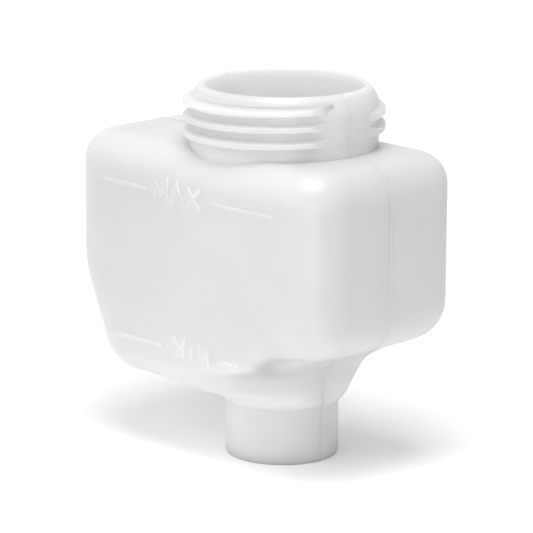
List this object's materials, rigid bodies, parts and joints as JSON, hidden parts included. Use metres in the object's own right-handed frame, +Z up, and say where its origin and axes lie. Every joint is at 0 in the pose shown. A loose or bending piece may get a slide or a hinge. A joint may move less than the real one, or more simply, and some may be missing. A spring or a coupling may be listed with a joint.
{
  "type": "brake fluid reservoir",
  "caption": "Milky translucent blow-moulded brake fluid bottle with a threaded filler neck, raised level marks, a stepped underside and a push-in outlet spout.",
  "frame": {"origin": "centre of the outlet spout's lower end", "axes": "+Z up along the spout and the filler neck, +X towards the shallow end of the bottle, the face with the level marks looks along -Y"},
  "size_m": [0.0802, 0.0477, 0.0845],
  "materials": {
    "bottle_plastic": "satin"
  },
  "bodies": {
    "root": {"reservoir_body": "bottle_plastic"}
  },
  "joints": []
}
